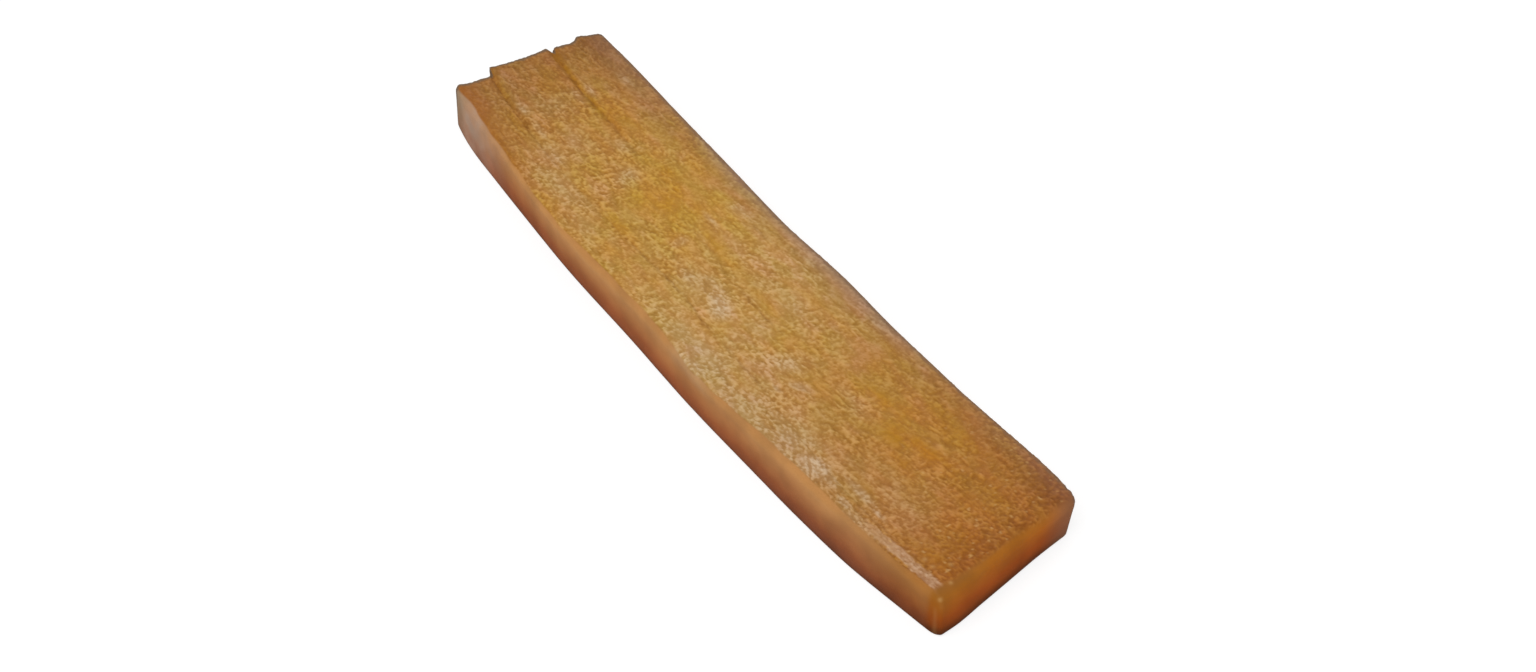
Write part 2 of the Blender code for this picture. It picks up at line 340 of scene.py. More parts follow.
# Relief of the skin, 0 in the valleys and 1 on the crests. Wrinkles and pebbles are drawn out along
# the bar and vary in strength, and lumps, a few high spots and long thin creases lie over them.
def pebbleGrain(x, y):
    bentX = x + looseNoise("bendAlong", x, y)
    bentY = y + looseNoise("bendAcross", x, y)
    wrinkles = evened(sum(evenNoise(bentX, bentY, *layer) for layer in pebbled["wrinkles"]))
    length, width, share, seed = pebbled["pebbles"]
    cellGaps = [noise.voronoi(Vector((a, b, seed)))[0] for a, b in zip(bentX / length, bentY / width)]
    pebbles = np.minimum([gaps[1] - gaps[0] for gaps in cellGaps], pebbled["pebbleHeight"])
    wrinkles += share * evened(pebbles) + evenNoise(bentX, bentY, *pebbled["streaks"])
    for (length, width, share, seed), turn, patches in pebbled["slants"]:
        c, s = np.cos(np.radians(turn)), np.sin(np.radians(turn))
        drawn = evened(drawnNoise(bentX * c + bentY * s, bentY * c - bentX * s, length, width, seed))
        inPatch = share * patchStrength(pebbled[patches], x, y)
        wrinkles = wrinkles * (1.0 - pebbled["slantHold"] * inPatch) + inPatch * drawn
    rises = evened(np.exp(pebbled["crestSharpness"] * evened(wrinkles)))

    strength = 1.0 + sum(evenNoise(x, y, *layer) for layer in pebbled["changes"])
    strength += sum(gain * between(x, start, end) for start, end, gain in pebbled["gains"])
    strength -= patchStrength(pebbled["calmPatches"], x, y)
    rises = rises * np.clip(strength, *pebbled["strengthRange"]) + evenNoise(x, y, *pebbled["lumps"])

    highSpots = evenNoise(bentX, bentY, *pebbled["highSpots"]) - pebbled["highSpotLevel"]
    start, end, gain = pebbled["highSpotGain"]
    rises += np.clip(highSpots, 0.0, None) * (1.0 + gain * between(x, start, end))
    creases = falloff(evenNoise(bentX, bentY, *pebbled["creases"]), pebbled["creaseReach"])
    creased = evenNoise(x, y, *pebbled["creasedParts"]) - pebbled["creasedLevel"]
    creased += pebbled["streakyGain"] * patchStrength(pebbled["streakyPatches"], x, y)
    rises -= creases * np.clip(creased, 0.0, 1.0)
    return np.clip(0.5 + pebbled["contrast"] * evened(rises), 0.0, 1.0)


# What lies on the top: amber patches, pale patches that are partly a dry sugar bloom and partly
# painted sheen, darker patches that are partly deeper pulp and partly painted shade, a painted sheen
# by the left edge, a painted sheen streak and thin lines darkened with painted shade. Fades are
# (start, end), margins (place, width) and the streak's and the lines' points (x, y, strength).
skin = {
    "leftMargin": (
        (-78, -0.5), (-74, 0.0), (-66, 0.2), (-50, 0.3), (-40, 0.3), (-25, 0.8), (-5, 0.7), (4, 0.3),
        (10, -0.1), (16, 0.3), (25, 0.6), (30, 0.9), (50, 0.6), (60, 0.1), (70, 0.4), (77, 0.5),
    ),
    "nearMargin": ((-16, 1.9), (-12, 1.7), (-6, 1.1), (0, 0.7), (9, 0.4), (17, 0.3)),
    "leftWander": 0.3,
    "nearWander": 0.5,
    "leftFade": (0.0, 0.4),
    "nearFade": (-0.4, 1.0),
    "topFade": (0.25, 0.55),
    "amberPatches": (
        (-50.5, 5.8, 5.5, 2.6, 0.55, 0), (-32, 5.4, 2.8, 1.0, 0.5, 0), (-30, -4.0, 4.0, 2.6, 0.35, 0),
        (-27, -10.2, 5.5, 1.3, 0.75, 3), (-62, -10.6, 4.5, 1.0, 0.5, -8),
        (-24, 1.5, 9.0, 5.2, 0.62, 0), (-19, 8.0, 4.0, 3.0, 0.4, 0), (-8, 1.2, 9.0, 1.3, 0.75, -4),
        (4, 0.2, 6.5, 1.2, 0.6, 0), (-12, -4.6, 3.5, 1.2, 0.4, 0), (7, -9.0, 2.4, 2.2, 0.5, 30),
        (8, -12.2, 6.0, 0.9, 0.35, -4), (16, -4.0, 2.6, 2.2, 0.4, -30),
        (18, -14.8, 3.2, 1.2, 0.35, -10), (27, -4.0, 3.5, 2.0, 0.3, 0), (-20, -14.6, 4.0, 1.2, 0.3, 6),
        (37, 3.3, 4.8, 1.7, 0.85, 0), (49.5, 2.0, 7.5, 1.5, 1.0, 3), (45, 0.2, 4.5, 2.3, 0.85, 0),
        (50, -2.7, 3.5, 1.1, 0.75, 0), (51, -10.8, 3.8, 1.0, 0.7, 0), (52, -15.0, 5.0, 0.7, 0.6, 2),
        (41, -12.7, 1.6, 0.7, 0.6, 0), (66, 2.2, 3.2, 1.6, 0.55, 0), (67, 5.6, 2.6, 1.3, 0.55, 0),
        (69, -5.6, 5.0, 3.8, 0.6, 0), (70, -11.6, 4.5, 1.6, 0.6, 0), (50, 9.0, 10.0, 3.6, 0.3, 0),
        (-68, 0.5, 5.0, 2.2, 0.3, 0), (43, 4.0, 6.5, 3.2, 0.62, 0), (48, 12.5, 7.0, 2.2, 0.42, 0),
        (-58, -16.5, 7.0, 1.5, 0.55, -8),
    ),
    # Amber along the grooves: reach, strength and fade along the bar.
    "grooveAmber": (("crease", 0.8, 1.0, (-40.0, -60.0)), ("stripLine", 0.7, 0.55, (-56.0, -68.0))),
    # Pale patches: partly a dry sugar bloom, partly painted sheen.
    "bloomAndSheenShare": 0.88,
    "bloomAndSheenMost": 0.8,
    "bloomAndSheenPatches": (
        (1.6, -7.0, 3.4, 2.2, 0.95, -20), (-2.5, -5.0, 3.6, 1.4, 0.62, 0),
        (-6.5, -7.4, 5.0, 2.0, 0.48, 4), (20, -6.0, 3.6, 2.0, 0.55, 25), (26, -7.0, 2.2, 1.0, 0.8, 30),
        (24, -10.4, 1.3, 0.6, 0.7, 0), (10, -15.0, 8.0, 3.6, 0.4, 0), (10, -19.6, 4.5, 1.5, 0.6, 0),
        (42, -16.0, 3.4, 2.4, 0.92, 10), (34, -15.6, 4.2, 2.2, 0.55, 0),
        (25.5, -18.6, 3.2, 1.2, 0.45, 0), (51, -12.7, 4.2, 0.9, 0.65, 0),
        (57, -13.2, 1.8, 0.5, 0.6, 0), (51.5, -16.4, 1.6, 0.8, 0.6, 0), (46, -15.2, 3.0, 1.6, 0.4, 0),
        (59, -9.5, 4.5, 3.8, 0.22, 0), (54, -7.4, 3.2, 2.0, 0.15, 0), (-43.5, 2.0, 2.2, 1.1, 0.4, 0),
        (-64, -7.8, 1.6, 0.9, 0.55, 0), (-57, -8.4, 3.2, 0.9, 0.35, -6),
        (-36, -1.6, 2.2, 2.6, 0.55, 0), (-16, -3.6, 1.2, 1.6, 0.5, 0), (-16, 10.2, 2.6, 1.2, 0.45, 20),
        (-17, 4.5, 2.4, 0.6, 0.4, 0), (2, 13.6, 7.0, 2.0, 0.24, 0), (23, 13.8, 5.0, 1.1, 0.35, 0),
        (-59, 13.4, 3.2, 0.9, 0.25, 0), (10, 4.4, 5.5, 2.6, 0.3, 0), (35, -1.4, 4.0, 1.6, 0.3, 0),
        (-50, -4.0, 4.0, 2.4, 0.4, 0), (-38, -9.0, 5.0, 3.0, 0.12, 0), (30, -13.0, 24.0, 4.6, 0.3, 0),
        (-3, -7.0, 12.0, 4.0, 0.26, 0), (-41, -13.8, 8.0, 3.0, 0.3, 0),
        (28, -17.6, 14.0, 1.8, 0.32, 0), (56, -17.6, 7.0, 1.4, 0.25, 0), (0, -16.0, 12.0, 4.0, 0.2, 0),
        (20, -9.5, 10.0, 3.0, 0.24, 0), (10, -10.5, 5.0, 4.0, 0.3, 0), (22, -2.5, 3.0, 1.6, 0.22, 0),
        (3, 5.0, 15.0, 12.0, 0.14, 0), (10, -4.0, 4.5, 4.0, 0.2, 0), (-49.5, -10.6, 4.5, 3.0, 0.34, 0),
        (-32, -15.5, 4.0, 2.6, 0.28, 0), (38, -18.3, 8.0, 1.5, 0.34, 0),
        (22, -19.2, 8.0, 1.3, 0.36, 0), (52, -9.5, 8.0, 3.5, 0.19, 0), (-4, 10.5, 7.0, 4.0, 0.18, 0),
        (3, -16.0, 4.5, 3.0, 0.33, 0), (-61, -2.5, 4.0, 3.6, 0.2, 0), (-60.5, 5.9, 1.8, 0.8, 0.5, 0),
        (-60.5, 3.1, 2.4, 0.8, 0.45, 0),
    ),
    # Darker patches: partly deeper pulp, partly painted shade toward the ends, the edges and the creases.
    "deepAndShadePatches": (
        (-74, 15.5, 11.0, 4.2, 0.68, 0), (-76, -14, 8.0, 3.0, 0.6, 0), (-76, 9, 6.0, 6.0, 0.35, 0),
        (74, 15, 12.0, 4.5, 0.9, 0), (75, -5, 5.5, 8.0, 0.64, 0), (62, 10, 12.0, 5.0, 0.3, 0),
        (75, 5, 5.0, 7.0, 0.42, 0), (-70.5, 5.6, 3.5, 0.7, 0.35, -10), (75, -15.5, 4.0, 2.5, 0.4, 0),
        (32, 9, 16.0, 4.5, 0.18, 0), (-74, -14.6, 5.0, 1.5, 0.9, -9), (-66, -15.6, 6.0, 1.4, 0.65, -9),
        (-57, -16.6, 6.5, 1.3, 0.85, -8), (-47, -18.0, 6.0, 1.2, 0.4, -10),
        (50, -2.7, 4.0, 1.4, 0.2, 0), (4, 0.4, 7.0, 1.5, 0.14, 0), (65, -11.5, 4.5, 5.5, 0.27, 0),
        (-50, 15.5, 9.0, 3.0, 0.2, 0), (-67, -10.3, 5.5, 1.1, 0.26, -8),
    ),
    # A painted sheen by the left edge of the top, where there are no pale patches.
    "leftEdgeSheenAcross": (8.0, 3.0),
    "leftEdgeSheenAlong": ((-6.0, 6.0), (66.0, 54.0)),
    # A painted sheen streak along the left edge by the near end.
    "sheenStreakReach": 1.05,
    "sheenStreakFade": (1.2, 0.7),
    "sheenStreakPath": (
        (53, -16.7, 0.0), (57, -16.3, 0.3), (61, -16.0, 0.55), (64, -15.7, 0.75), (70, -15.05, 0.95),
        (73, -14.9, 0.95), (75, -14.8, 0.75), (76, -14.7, 0.0),
    ),
    # Thin lines, sunk a little in the mesh and darkened with painted shade in them.
    "lineReach": 0.3,
    "lineShare": 0.75,
    "lines": (
        ((-76, 6.5, 0.3), (-72, 5.9, 0.5), (-66, 5.0, 0.7), (-62, 4.5, 0.9), (-57, 4.3, 0.9),
         (-52, 4.1, 0.7), (-46, 3.8, 0.6), (-38, 3.3, 0.0)),
        ((-77, -7.2, 0.1), (-73, -8.4, 0.4), (-66, -9.0, 0.5), (-58, -9.7, 0.55), (-54, -10.4, 0.35),
         (-45, -11.0, 0.2), (-34, -11.4, 0.25), (-22, -11.2, 0.45), (-12, -10.8, 0.65),
         (-4, -11.0, 0.6), (3, -11.8, 0.65), (9, -12.4, 0.5), (20, -12.1, 0.5), (29, -12.6, 0.0)),
        ((0, -1.6, 0.0), (3, -1.8, 0.6), (8, -1.9, 0.65), (13, -2.0, 0.6), (16, -2.0, 0.0),
         (24, -1.8, 0.3), (30, -1.9, 0.0)),
        ((-14, 10.4, 0.0), (-10, 10.2, 0.5), (-5, 10.0, 0.4), (-2, 10.1, 0.0)),
        ((-9, 12.0, 0.0), (-6, 12.1, 0.4), (0, 12.3, 0.4), (3, 12.4, 0.0)),
        ((-19, 3.7, 0.0), (-17, 3.7, 0.5), (-14, 3.6, 0.4), (-12, 3.6, 0.0)),
        ((47, -15.1, 0.0), (50, -15.1, 0.4), (54, -14.9, 0.4), (58, -14.6, 0.35), (61, -14.6, 0.45),
         (66, -14.1, 0.4), (70, -13.7, 0.45), (74, -13.5, 0.0)),
        ((57, -17.6, 0.0), (61, -17.3, 0.55), (66, -16.9, 0.65), (71, -16.4, 0.65), (74, -16.2, 0.0)),
        ((46, -0.6, 0.0), (48, -0.6, 0.4), (52, -0.5, 0.0)),
    ),
    # The thin line of painted shade in the groove where the skin ends on the left, darker along the middle.
    "rimPlace": 0.05,
    "rimReach": 0.22,
    "rimTop": (0.0, 0.5),
    "rimShade": (0.25, 0.3),
    "rimShadeAlong": ((-25.0, -17.0), (34.0, 26.0)),
    # Small painted highlights scattered over the skin toward the near end, laid into the glints.
    "specks": (0.9, 0.65, 1.5, 6.2),  # length, width, share and seed
    "speckLevel": 2.7,
    "speckMost": 0.62,
    "speckAlong": (40.0, 60.0),
}


# Strength of the thin wandering lines at each point.
def lineStrength(x, y):
    wander = looseNoise("lineWander", x, y)
    total = np.zeros_like(x)
    for stations in skin["lines"]:
        xs, ys, strengths = zip(*stations)
        gap = y - smoothCurve(tuple(zip(xs, ys)), x) - wander
        inside = (x > xs[0]) & (x < xs[-1])
        total = np.maximum(total, np.interp(x, xs, strengths) * inside * falloff(gap, skin["lineReach"]))
    return total * np.clip(skin["lineShare"] + looseNoise("lineGaps", x, y), 0.0, 1.0)


def topMarks(x, y, leftGap):
    amber = patchStrength(skin["amberPatches"], x, y)
    for line, reach, strength, fade in skin["grooveAmber"]:
        gap = y - smoothCurve(bar[line], x)
        amber = np.maximum(amber, strength * falloff(gap, reach) * between(x, *fade))
    amber = np.clip(amber * (1.0 + looseNoise("amber", x, y)), 0.0, 1.0)
    bloomAndSheen = patchStrength(skin["bloomAndSheenPatches"], x, y) * (skin["bloomAndSheenShare"] + looseNoise("bloomAndSheen", x, y))
    bloomAndSheen = np.clip(bloomAndSheen, 0.0, skin["bloomAndSheenMost"])
    # Painted sheen by the left edge.
    leftEdgeSheen = between(leftGap, *skin["leftEdgeSheenAcross"]) * (1.0 - bloomAndSheen)
    for fade in skin["leftEdgeSheenAlong"]:
        leftEdgeSheen *= between(x, *fade)
    # Painted sheen streak along the left edge.
    xs, ys, strengths = zip(*skin["sheenStreakPath"])
    sheenStreakGap = np.abs(y - np.interp(x, xs, ys)) / skin["sheenStreakReach"] - looseNoise("sheenStreak", x, y)
    sheenStreak = between(sheenStreakGap, *skin["sheenStreakFade"]) * np.interp(x, xs, strengths, left=0.0, right=0.0)
    deepAndShade = patchStrength(skin["deepAndShadePatches"], x, y)
    lines = lineStrength(x, y)
    return {"amber": amber, "bloomAndSheen": bloomAndSheen, "leftEdgeSheen": leftEdgeSheen, "sheenStreak": sheenStreak, "deepAndShade": deepAndShade, "lines": lines}


# The cuts and the ends, and how far the surface stands out from the smooth shape, in millimetres.
# Glints and pits are small spots: (x, y, z, radius, strength or depth).
cuts = {
    "endFacing": (0.35, 0.65),
    "endFrom": 60.0,
    "farRimFade": (1.45, 0.85),
    "farRimUp": (0.0, 3.0),
    "farRimFacing": (-0.98, -0.78),
    # The light line down the near left corner: strength, the way it faces, its reach and its top.
    "cornerLight": 0.11,
    "cornerFacing": 0.55,
    "cornerReach": 0.16,
    "cornerUp": (8.5, 6.5),
    "grainFrom": 0.3,  # how far up a point faces where the grain starts
    "skinHeight": 0.25,
    "amberHeight": 0.35,  # share of it that stays in the amber patches
    "sunk": 0.12,  # how far the smooth margins lie below the skin's crests
    "rimDepth": 0.04,
    "lineDepth": 0.06,
    "breakSink": 0.12,
    "breakFacing": (-0.2, -0.7),
    "waveUp": (0.2, 1.7),
    "glints": (
        (75.5, -12.4, 10.7, 0.35, 0.6), (76.65, -15.5, 9.7, 0.42, 0.65), (77.0, -15.5, 7.8, 0.4, 0.35),
        (72.7, -10.1, 10.8, 0.4, 0.6), (69.2, -12.9, 10.8, 0.4, 0.6), (71.2, -12.8, 10.8, 0.4, 0.5),
    ),
    "pits": (
        (-0.6, -20.4, 9.4, 0.45, 0.16), (-16.5, -18.6, 10.8, 0.4, 0.12), (24.6, 13.6, 10.8, 0.5, 0.14),
    ),
}

# Marks that the mesh carries to its material.
markNames = (
    "skin", "grain", "amber", "bloomAndSheen", "leftEdgeSheen", "deepAndShade", "sheenStreak", "lines", "endCut", "farRimShade", "glint",
    "facingNear", "facingLeft", "facingDown",
)


# All marks at each point, in the same coordinates as the shape's curves.
def surfaceMarks(x, y, z, facing):
    near, right, up = facing
    wander = looseNoise("margin", x, y)
    leftGap = y - smoothCurve(bar["leftEdge"], x) - smoothCurve(skin["leftMargin"], x)
    leftGap -= skin["leftWander"] * wander
    nearGap = smoothCurve(bar["nearEnd"], y) - x - smoothCurve(skin["nearMargin"], y)
    nearSkin = between(nearGap - skin["nearWander"] * wander, *skin["nearFade"])
    marks = topMarks(x, y, leftGap)
    marks.update(facingNear=near, facingLeft=-right, facingDown=-up)
    marks["skin"] = between(leftGap, *skin["leftFade"]) * nearSkin * between(up, *skin["topFade"])
    rim = falloff(leftGap - skin["rimPlace"], skin["rimReach"]) * nearSkin
    marks["rim"] = rim * between(up, *skin["rimTop"])
    bareEnd = (1.0 - nearSkin) * (x > cuts["endFrom"])
    marks["endCut"] = np.maximum(between(near, *cuts["endFacing"]), bareEnd)
    # Painted shade on the far end face, above its foot.
    farGap = x - brokenCurve(bar["farEnd"], y) - looseNoise("farRimShade", x, y)
    farRimShade = between(farGap, *cuts["farRimFade"]) * between(z, *cuts["farRimUp"])
    marks["farRimShade"] = farRimShade * between(near, *cuts["farRimFacing"])
    corner = falloff(near - cuts["cornerFacing"], cuts["cornerReach"]) * (right < 0.0)
    corner *= cuts["cornerLight"] * between(z, *cuts["cornerUp"])
    marks["glint"] = np.maximum(corner, spotStrength(cuts["glints"], x, y, z))

    onTop = up > cuts["grainFrom"]
    marks["grain"] = np.zeros_like(x)
    marks["grain"][onTop] = pebbleGrain(x[onTop], y[onTop])
    # Painted highlight specks.
    specks = np.zeros_like(x)
    specks[onTop] = evenNoise(x[onTop], y[onTop], *skin["specks"]) - skin["speckLevel"]
    specks = np.clip(specks, 0.0, skin["speckMost"]) * marks["skin"] * between(x, *skin["speckAlong"])
    marks["glint"] = np.maximum(marks["glint"], specks)
    return marks


def surfaceRise(x, y, z, marks):
    bare = 1.0 - marks["skin"]
    height = cuts["skinHeight"] * (1.0 - (1.0 - cuts["amberHeight"]) * marks["amber"])
    rise = marks["skin"] * height * (marks["grain"] - 1.0)
    rise -= bare * cuts["sunk"] * ease(-2.0 * marks["facingDown"])
    rise -= cuts["rimDepth"] * marks["rim"] + cuts["lineDepth"] * marks["lines"]
    breaks = looseNoise("coarseBreak", y, z) + looseNoise("fineBreak", y, z) - cuts["breakSink"]
    rise += breaks * between(marks["facingNear"], *cuts["breakFacing"])
    waves = looseNoise("longWave", x, z) + looseNoise("shortWave", x + y, z)
    rise += bare * waves * between(z, *cuts["waveUp"])
    return rise - spotStrength(cuts["pits"], x, y, z)


# A lattice of whole numbers: the top, with walls extruded down from its rim a ring at a time.
def slabLattice():
    across = sum(cells["across"])
    bm = bmesh.new()
    bmesh.ops.create_grid(bm, x_segments=cells["along"], y_segments=across, size=0.5)
    bmesh.ops.translate(bm, verts=bm.verts, vec=(0.5, 0.5, 0.0))
    bmesh.ops.scale(bm, verts=bm.verts, vec=(cells["along"], across, 1.0))
    bmesh.ops.translate(bm, verts=bm.verts, vec=(0.0, 0.0, cells["up"]))
    rim = [edge for edge in bm.edges if edge.is_boundary]
    for level in range(cells["up"]):
        wall = bmesh.ops.extrude_edge_only(bm, edges=rim)["geom"]
        ring = [part for part in wall if isinstance(part, bmesh.types.BMVert)]
        rim = [part for part in wall if isinstance(part, bmesh.types.BMEdge) and part.is_boundary]
        bmesh.ops.translate(bm, verts=ring, vec=(0.0, 0.0, -1.0))
    print("lattice of", len(bm.verts), "points")
    return bm


# Faces of the underside that are still large enough to be cut.
def undersideFaces(bm):
    low = [face for face in bm.faces if face.normal.z < -0.9 and face.calc_center_median().z < 0.1 * mm]
    least = (cells["underLeast"] * mm) ** 2
    return [face for face in low if len(face.verts) > 4 or face.calc_area() > least]


# Underside: one face, a soft edge around it, then even cells.
def closeUnderside(bm):
    foot = [edge for edge in bm.edges if edge.is_boundary]
    base = bmesh.ops.contextual_create(bm, geom=foot)["faces"]
    bmesh.ops.inset_region(bm, faces=base, thickness=cells["underEdge"] * mm, use_even_offset=True)
    for axis, reach in enumerate(cells["underReach"]):
        normal = Vector((axis == 0, axis == 1, 0.0))
        for stop in range(-reach, reach + 1, cells["underStep"]):
            parts = set()
            for face in undersideFaces(bm):
                parts.update((face, *face.edges, *face.verts))
            place = normal * (stop * mm)
            bmesh.ops.bisect_plane(bm, geom=list(parts), dist=1e-7, plane_co=place, plane_no=normal)


def driedMangoBar():
    bm = slabLattice()
    lattice = np.rint([vertex.co for vertex in bm.verts]).T
    slab, facing = rounded(*linePlaces(*lattice))
    smooth = shaped(*slab)
    marks = surfaceMarks(*smooth, facing)
    place = smooth + facing * surfaceRise(*smooth, marks)
    # Painted shade in the groove along the skin's left rim, darker along the middle, goes into the thin
    # lines.
    rimShade, middleShade = skin["rimShade"]
    for fade in skin["rimShadeAlong"]:
        middleShade = middleShade * between(smooth[0], *fade)
    marks["lines"] = np.maximum(marks["lines"], (rimShade + middleShade) * marks["rim"])

    # The solid's own place: centred over the origin, on the floor, and never outside its box.
    low, high = (np.array(corner)[:, None] / mm for corner in cadBox)
    place = np.clip(place + np.array(bar["toCentre"])[:, None], low, high)
    place[2] = np.where(facing[2] < -0.99, 0.0, place[2])
    for vertex, spot in zip(bm.verts, place.T * mm):
        vertex.co = spot
    print("top and sides shaped")

    closeUnderside(bm)
    bmesh.ops.recalc_face_normals(bm, faces=bm.faces)
    for face in bm.faces:
        face.smooth = True
    mesh = bpy.data.meshes.new("driedMangoBar")
    bm.to_mesh(mesh)
    bm.free()
    for name in markNames:  # the underside's own points come last, and only face down
        value = np.full(len(mesh.vertices), name == "facingDown", dtype=np.float32)
        value[:place.shape[1]] = marks[name]
        mesh.attributes.new(name, "FLOAT", "POINT").data.foreach_set("value", value)
    piece = bpy.data.objects.new("driedMangoBar", mesh)
    bpy.context.scene.collection.objects.link(piece)
    mesh.calc_loop_triangles()
    print("bar mesh:", len(mesh.loop_triangles), "triangles")
    return piece


def addNode(tree, kind, name="", **settings):
    node = tree.nodes.new(kind)
    if name:
        node.name = node.label = name
    for key, value in settings.items():
        if key in node.inputs:
            node.inputs[key].default_value = value
        else:
            setattr(node, key, value)
    return node


def setInput(tree, socket, value):
    if isinstance(value, bpy.types.NodeSocket):
        tree.links.new(value, socket)
    elif isinstance(value, (tuple, list)) and socket.type == "RGBA":
        socket.default_value = (*value[:3], 1.0)
    else:
        socket.default_value = value


def mixColour(tree, factor, first, second, blend="MIX"):
    node = addNode(tree, "ShaderNodeMix", data_type="RGBA", blend_type=blend)
    for socket, value in zip((node.inputs[0], node.inputs[6], node.inputs[7]), (factor, first, second)):
        setInput(tree, socket, value)
    return node.outputs[2]


def calculate(tree, operation, *values, clamp=False):
    node = addNode(tree, "ShaderNodeMath", operation=operation, use_clamp=clamp)
    for socket, value in zip(node.inputs, values):
        setInput(tree, socket, value)
    return node.outputs[0]


def fitRange(tree, value, fromMin, fromMax, toMin=0.0, toMax=1.0, shape="SMOOTHSTEP"):
    node = addNode(tree, "ShaderNodeMapRange", interpolation_type=shape)
    for socket, given in zip(node.inputs, (value, fromMin, fromMax, toMin, toMax)):
        setInput(tree, socket, given)
    return node.outputs[0]


def colourRamp(tree, value, stops):
    node = addNode(tree, "ShaderNodeValToRGB")
    ramp = node.color_ramp
    while len(ramp.elements) < len(stops):
        ramp.elements.new(0.5)
    for element, (position, colour) in zip(ramp.elements, stops):
        element.position = position
        element.color = (*colour, 1.0)
    tree.links.new(value, node.inputs[0])
    return node.outputs[0]


# Lays colours over each other. A layer has its blend, its colour or the input that gives it, and the
# fades that bound it: each an input with its start, its end and, if not 0 and 1, the strengths there.
def layered(tree, colour, inputs, layers):
    for blend, over, *fades in layers:
        strength = 1.0
        for i, (source, *fade) in enumerate(fades):
            part = fitRange(tree, inputs[source], *fade) if fade else inputs[source]
            strength = calculate(tree, "MULTIPLY", strength, part) if i else part
        over = inputs[over] if isinstance(over, str) else over
        colour = mixColour(tree, strength, colour, over, blend)
    return colour


